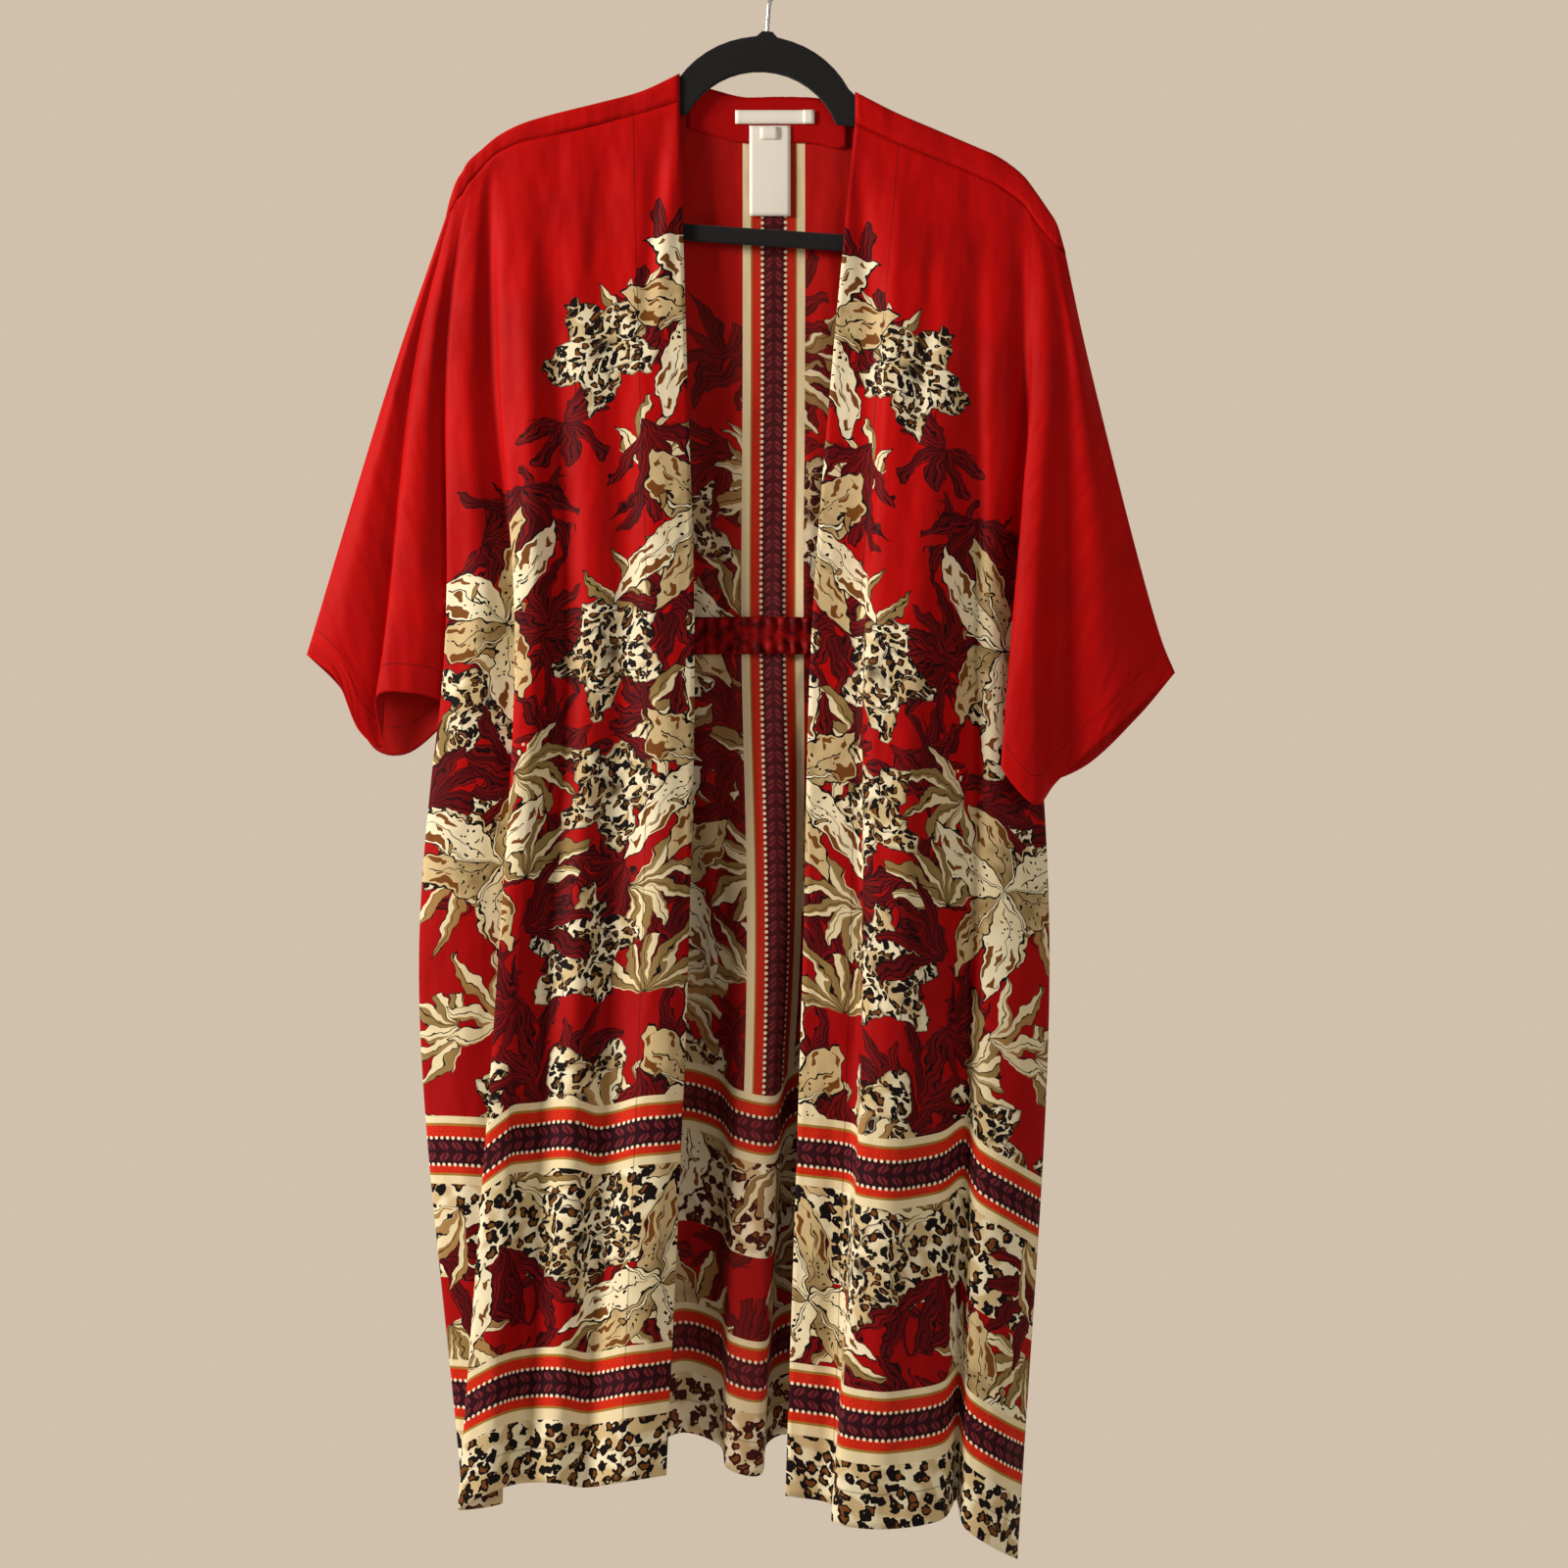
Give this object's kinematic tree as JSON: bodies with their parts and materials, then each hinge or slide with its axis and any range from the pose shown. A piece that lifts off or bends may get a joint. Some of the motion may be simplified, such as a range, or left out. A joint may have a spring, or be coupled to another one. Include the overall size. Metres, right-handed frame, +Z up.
{
  "type": "kimono cardigan on a flocked clothes hanger",
  "caption": "Open-front kimono cardigan of light printed cloth with wide half-length sleeves, hanging open on a slim flocked hanger.",
  "frame": {"origin": "inner top of the hanger's hook, where the rod that carries it lies", "axes": "+Z up, -Y towards the viewer of the open front, +X to the wearer's left, which is the viewer's right"},
  "size_m": [0.6734, 0.0993, 1.2518],
  "materials": {
    "cloth": "light woven viscose with a soft sheen, printed",
    "label": "woven satin tape, blank",
    "flock": "black flock over moulded plastic",
    "wire": "bright plated wire"
  },
  "bodies": {
    "root": {"front_right": "cloth", "front_left": "cloth", "back": "cloth", "neck_facing": "cloth", "waist_casing": "cloth", "label_main": "label", "label_size": "label", "label_care": "label", "label_origin": "label", "hanger_body": "flock", "hanger_hook": "wire"}
  },
  "joints": []
}
